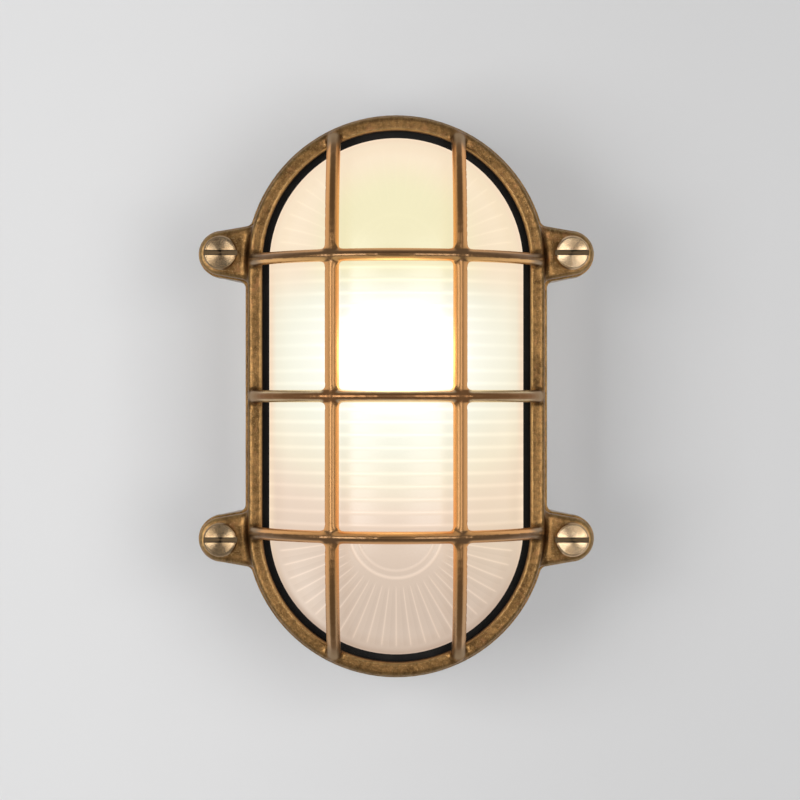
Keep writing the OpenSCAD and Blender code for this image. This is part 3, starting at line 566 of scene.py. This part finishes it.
SCREW_X = 0.0802
SCREW_Z = 0.0654
LATHE_PITCH = 0.00042
SLOT_HALF = 0.00127
SLOT_LIP = 0.0727
SLOT_GRIME_AND_SHADE = (0.045, 0.030, 0.016, 1)
SCREW_LEFT_DARKER = (0.20, 0.130, 0.062, 1)
screw_brass, place, shader, colour, scuff = turned_brass("cover_screw_brass")
across, inwards, up = parts(place)
# The two screws on the left are darker.
left_pair = 1.0 - across.step(-0.02, 0.02)
colour = (0.55 * left_pair).tint(colour, SCREW_LEFT_DARKER)
off_x = abs(across) - SCREW_X
off_z = abs(up) - SCREW_Z
# Grime and painted shade darken the floor of the slot.
deep = 1.0 - (-inwards).step(SLOT_LIP - 0.0007, SLOT_LIP)
grime_and_shade = deep * (1.0 - abs(off_z).step(SLOT_HALF, SLOT_HALF + 0.0001))
grime_and_shade.tint(colour, SLOT_GRIME_AND_SHADE).feed(shader, "Base Color")
from_axis = (off_x * off_x + off_z * off_z).math("SQRT")
lathe = (from_axis * (2.0 * math.pi / LATHE_PITCH)).math("SINE")
relief(shader, lathe * 0.5 + scuff * 0.4, 0.00004, 1.0)
dress(screw_brass, "cover_screws")


# Wall, lamps and camera: a pale painted wall, a soft lamp on each side of the camera, and a pale
# room that is dimmer behind the camera. The wall is open from behind, and the pale side of the
# room stands in for it in reflections.

WALL_HALF = 1.3
WALL_Y = 0.0006
WALL_PALE = (0.78, 0.78, 0.78, 1)
WALL_SHADED = (0.68, 0.68, 0.68, 1)
wall_mesh = bpy.data.meshes.new("wall")
plane = bmesh.new()
bmesh.ops.create_grid(plane, x_segments=1, y_segments=1, size=WALL_HALF,
                      matrix=Matrix.Translation((0, WALL_Y, 0)) @ Matrix.Rotation(math.pi / 2, 4, "X"))
plane.to_mesh(wall_mesh)
plane.free()
wall = bpy.data.objects.new("wall", wall_mesh)
bpy.context.scene.collection.objects.link(wall)
wall.visible_diffuse = False
wall.visible_glossy = False
wall.visible_transmission = False
wall.visible_shadow = False
wall_paint, place, shader = new_finish("wall_paint", {"Roughness": 0.9, "Specular IOR Level": 0.2})
roll = grain(place, 14.0, 3.0)
# Painted shade: the wall darkens towards the right, with a faint random roll.
rightward = parts(place)[0].step(-0.17, 0.17)
(rightward * 0.9 + roll * 0.1).tint(WALL_PALE, WALL_SHADED).feed(shader, "Base Color")
behind = place.node("NewGeometry", {}, {}, out="Backfacing")
clear = place.node("BsdfTransparent")
one_sided = behind.node("MixShader", {}, {0: behind, 1: Shade(shader.outputs[0]), 2: clear})
one_sided.feed(wall_paint.node_tree.nodes["Material Output"], "Surface")
wall_mesh.materials.append(wall_paint)


LAMP_WIDTH = 0.8
LAMP_HEIGHT = 0.9


def soft_lamp(name, place, watts):
    """A large soft lamp, aimed at the middle of the light."""
    data = bpy.data.lights.new(name, "AREA")
    data.shape = "RECTANGLE"
    data.size = LAMP_WIDTH
    data.size_y = LAMP_HEIGHT
    data.energy = watts
    lamp = bpy.data.objects.new(name, data)
    lamp.location = place
    lamp.rotation_euler = (-Vector(place)).to_track_quat("-Z", "Y").to_euler()
    bpy.context.scene.collection.objects.link(lamp)


soft_lamp("left_lamp", (-0.81, -1.22, -0.01), 10.5)
soft_lamp("right_lamp", (0.62, -1.27, -0.01), 7.9)

ROOM_WALL = (0.70, 0.69, 0.67, 1)
ROOM_SIDE = (0.38, 0.38, 0.385, 1)
ROOM_FRONT = (0.15, 0.15, 0.153, 1)
room = bpy.data.worlds.new("room")
bpy.context.scene.world = room
room.use_nodes = True
heading = Shade(room.node_tree.nodes.new("ShaderNodeTexCoord").outputs["Generated"])
ahead = -parts(heading)[1]
surround = ahead.step(0.45, 1.0).tint(ROOM_SIDE, ROOM_FRONT)
surround = (-ahead).step(0.0, 0.3).tint(surround, ROOM_WALL)
surround.feed(room.node_tree.nodes["Background"], "Color")

CAMERA_LENS = 103.0
CAMERA_AT = (0.0017, -1.114, -0.0017)
camera_data = bpy.data.cameras.new("camera")
camera_data.sensor_width = 36.0
camera_data.lens = CAMERA_LENS
camera = bpy.data.objects.new("camera", camera_data)
camera.location = CAMERA_AT
camera.rotation_euler = (math.pi / 2, 0.0, 0.0)
bpy.context.scene.collection.objects.link(camera)
bpy.context.scene.camera = camera
bpy.context.scene.view_settings.view_transform = "Standard"
